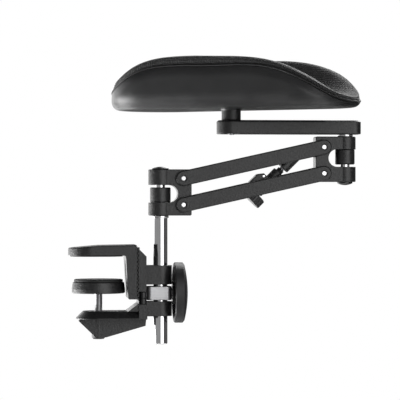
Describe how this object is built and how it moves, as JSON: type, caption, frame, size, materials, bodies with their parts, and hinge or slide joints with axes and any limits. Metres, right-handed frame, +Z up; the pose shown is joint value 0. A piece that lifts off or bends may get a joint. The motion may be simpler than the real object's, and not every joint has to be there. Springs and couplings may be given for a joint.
{
  "type": "desk-clamp forearm rest",
  "caption": "Padded forearm trough on a swing arm and adjustable parallelogram lift arm, swivelling on a chrome rod held in a toothed desk clamp.",
  "frame": {"origin": "on the clamp screw's axis, in the plane where the upper jaw's pad rests on the desk top", "axes": "+Z up, +X from the desk out along the resting arm, rod axis parallel to +Z"},
  "size_m": [0.2872, 0.1853, 0.2786],
  "materials": {
    "cast_black": "satin black powder coat, fine grain",
    "chrome": "polished",
    "brushed_block": "brushed",
    "zinc_steel": "zinc plated",
    "polished_steel": "polished",
    "black_oxide": "black oxide, satin",
    "wheel_plastic": "matte, moulded",
    "knob_plastic": "matte, moulded",
    "cap_plastic": "semi-gloss, moulded",
    "rubber_pad": "matte rubber",
    "trim_rubber": "satin rubber",
    "shell_plastic": "satin moulded plastic",
    "mesh_fabric": "woven mesh fabric over foam"
  },
  "bodies": {
    "clamp": {"clamp_bracket": "cast_black", "rod_eye_block": "brushed_block", "jaw_bolt": "black_oxide", "web_lock_screws": "black_oxide"},
    "jaw": {"upper_jaw": "cast_black", "jaw_pad": "rubber_pad"},
    "disc": {"pressure_disc": "cast_black", "disc_pad": "rubber_pad"},
    "screw": {"clamp_screw": "zinc_steel"},
    "washer": {"wheel_washer": "black_oxide"},
    "wheel": {"hand_wheel": "wheel_plastic", "wheel_screw": "zinc_steel"},
    "mast": {"rod": "chrome", "thrust_washer": "polished_steel", "left_collar": "cast_black", "left_collar_screw": "black_oxide", "left_cap": "cap_plastic"},
    "base_yoke": {"left_yoke": "cast_black", "left_pivot_pins": "polished_steel"},
    "low_link": {"lower_bar": "cast_black"},
    "high_link": {"upper_bar": "cast_black"},
    "strut_low": {"strut_block": "cast_black", "block_pin": "polished_steel", "strut_spindle": "zinc_steel", "lock_nut": "black_oxide"},
    "knob": {"adjuster_knob": "knob_plastic"},
    "strut_high": {"strut_housing": "cast_black"},
    "tip_yoke": {"right_yoke": "cast_black", "right_pivot_pins": "polished_steel"},
    "swing": {"swing_arm": "cast_black", "hinge_pin": "chrome", "swing_washer": "polished_steel", "right_collar": "cast_black", "right_collar_screw": "black_oxide", "right_cap": "cap_plastic"},
    "pad": {"pad_post": "cast_black", "post_washer": "zinc_steel", "post_screw": "zinc_steel", "pad_plate": "zinc_steel", "plate_screws": "zinc_steel", "armrest_shell": "shell_plastic", "rim_trim": "trim_rubber", "cushion": "mesh_fabric"}
  },
  "joints": [
    {"name": "jaw_height", "type": "slide", "parent": "clamp", "child": "jaw", "axis": [0, 0, 1], "range_m": [0, 0.024]},
    {"name": "disc_travel", "type": "slide", "parent": "clamp", "child": "disc", "axis": [0, 0, 1], "range_m": [-0.016, 0.018]},
    {"name": "clamp_screw_turn", "type": "hinge", "parent": "disc", "child": "screw", "pos_m": [0, 0, -0.06], "axis": [0, 0, 1], "range_deg": [-4650, 5220]},
    {"name": "wheel_travel", "type": "slide", "parent": "clamp", "child": "washer", "axis": [1, 0, 0], "range_m": [0, 0.0025]},
    {"name": "wheel_turn", "type": "hinge", "parent": "washer", "child": "wheel", "pos_m": [0.08, 0, -0.0356], "axis": [1, 0, 0], "range_deg": [-5, 730]},
    {"name": "rod_height", "type": "slide", "parent": "clamp", "child": "mast", "axis": [0, 0, 1], "range_m": [-0.03, 0.02]},
    {"name": "arm_swivel", "type": "hinge", "parent": "mast", "child": "base_yoke", "pos_m": [0.0605, 0, 0.06], "axis": [0, 0, 1], "continuous": true},
    {"name": "arm_lift", "type": "hinge", "parent": "base_yoke", "child": "low_link", "pos_m": [0.0823, 0, 0.0501], "axis": [0, -1, 0], "range_deg": [-12.6, 27.4]},
    {"name": "upper_bar_pivot", "type": "hinge", "parent": "base_yoke", "child": "high_link", "pos_m": [0.0823, 0, 0.0759], "axis": [0, -1, 0], "range_deg": [-13.1, 27.9]},
    {"name": "tip_yoke_pivot", "type": "hinge", "parent": "low_link", "child": "tip_yoke", "pos_m": [0.22049, 0, 0.08099], "axis": [0, -1, 0], "range_deg": [-27.9, 13.1]},
    {"name": "strut_foot_pivot", "type": "hinge", "parent": "low_link", "child": "strut_low", "pos_m": [0.16262, 0, 0.06805], "axis": [0, -1, 0], "range_deg": [-11.24, 5.44]},
    {"name": "knob_turn", "type": "hinge", "parent": "strut_low", "child": "knob", "pos_m": [0.15197, 0, 0.05749], "axis": [0.7099, 0, 0.7043], "range_deg": [-1676, 3621]},
    {"name": "strut_head_pivot", "type": "hinge", "parent": "high_link", "child": "strut_high", "pos_m": [0.19619, 0, 0.10136], "axis": [0, -1, 0], "range_deg": [-11.24, 5.44]},
    {"name": "swing_swivel", "type": "hinge", "parent": "tip_yoke", "child": "swing", "pos_m": [0.2428, 0, 0.1], "axis": [0, 0, 1], "continuous": true},
    {"name": "pad_swivel", "type": "hinge", "parent": "swing", "child": "pad", "pos_m": [0.1302, 0, 0.14], "axis": [0, 0, 1], "continuous": true}
  ],
  "couplings": [
    {"joint": "clamp_screw_turn", "follows": "disc_travel", "rad_per_m": 5026.5},
    {"joint": "wheel_turn", "follows": "wheel_travel", "rad_per_m": 5026.5},
    {"joint": "upper_bar_pivot", "follows": "arm_lift", "ratio": 1},
    {"joint": "tip_yoke_pivot", "follows": "arm_lift", "ratio": -1},
    {"joint": "strut_foot_pivot", "follows": "arm_lift", "ratio": -0.392},
    {"joint": "strut_head_pivot", "follows": "arm_lift", "ratio": -0.392},
    {"joint": "knob_turn", "follows": "arm_lift", "ratio": 131.41}
  ]
}
